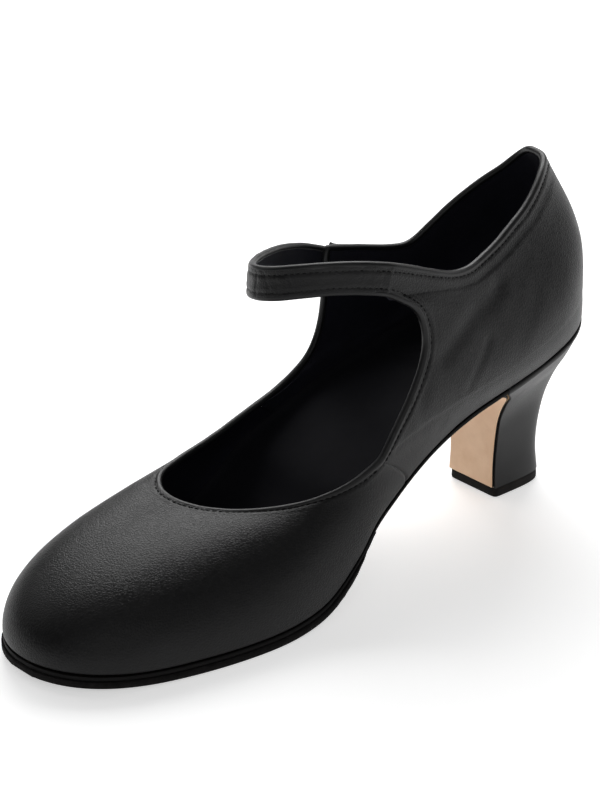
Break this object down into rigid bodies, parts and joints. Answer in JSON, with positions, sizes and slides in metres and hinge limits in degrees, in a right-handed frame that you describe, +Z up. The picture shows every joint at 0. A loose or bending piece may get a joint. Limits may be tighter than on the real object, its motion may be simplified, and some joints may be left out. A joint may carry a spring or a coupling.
{
  "type": "tap shoe",
  "caption": "Heeled dance shoe with a round toe, one instep strap with a quick-release buckle, a covered flared heel and a suede forepart tread.",
  "frame": {"origin": "centre of the bounding box, on the ground plane", "axes": "+X from heel to toe, +Y towards the inner (medial) side of this right shoe, +Z up"},
  "size_m": [0.2352, 0.0787, 0.1193],
  "materials": {
    "upper_leather": "smooth fine grain, soft sheen",
    "edge_leather": "rolled edge, soft sheen",
    "lining": "matt lining leather",
    "stiffener": "resin-stiffened cloth",
    "sole_leather": "black edge ink",
    "tread_suede": "napped suede",
    "board": "cellulose board",
    "filler": "granulated cork",
    "steel": "plain steel",
    "foam": "soft foam",
    "sock": "matt sock",
    "heel_core": "moulded core",
    "heel_leather": "smooth, stretched over the heel",
    "top_piece_rubber": "dense, matt",
    "tan_leather": "undyed vegetable-tanned leather",
    "buckle_metal": "polished nickel",
    "elastic": "woven ribbed elastic"
  },
  "bodies": {
    "shoe": {"vamp": "upper_leather", "quarter_medial": "upper_leather", "quarter_lateral": "upper_leather", "throat_bead": "edge_leather", "notch_bead_medial": "edge_leather", "notch_bead_lateral": "edge_leather", "collar_bead": "edge_leather", "vamp_lining": "lining", "quarter_lining_medial": "lining", "quarter_lining_lateral": "lining", "toe_puff": "stiffener", "heel_counter": "stiffener", "full_sole": "sole_leather", "tread_sole": "tread_suede", "insole_board": "board", "shank_board": "board", "bottom_filler": "filler", "shank": "steel", "shank_rivets": "steel", "heel_screw": "steel", "heel_nails": "steel", "top_piece_pin": "steel", "heel_pad": "foam", "sock_liner": "sock", "heel_block": "heel_core", "heel_cover": "heel_leather", "top_piece": "top_piece_rubber", "breast_flap": "tan_leather", "catch_ring": "buckle_metal", "elastic_loop": "elastic"},
    "strap": {"strap": "upper_leather", "strap_lining": "lining", "strap_bead_top": "edge_leather", "strap_bead_bottom": "edge_leather", "buckle_frame": "buckle_metal", "buckle_hook": "buckle_metal"},
    "prong": {"buckle_prong": "buckle_metal"}
  },
  "joints": [
    {"name": "strap_open", "type": "hinge", "parent": "shoe", "child": "strap", "pos_m": [-0.00782, 0.02899, 0.10118], "axis": [-0.2171, 0.0542, 0.9746], "range_deg": [0, 95]},
    {"name": "prong_turn", "type": "hinge", "parent": "strap", "child": "prong", "pos_m": [-0.05561, -0.03245, 0.07664], "axis": [0.412, 0, -0.9112], "range_deg": [0, 30]}
  ]
}
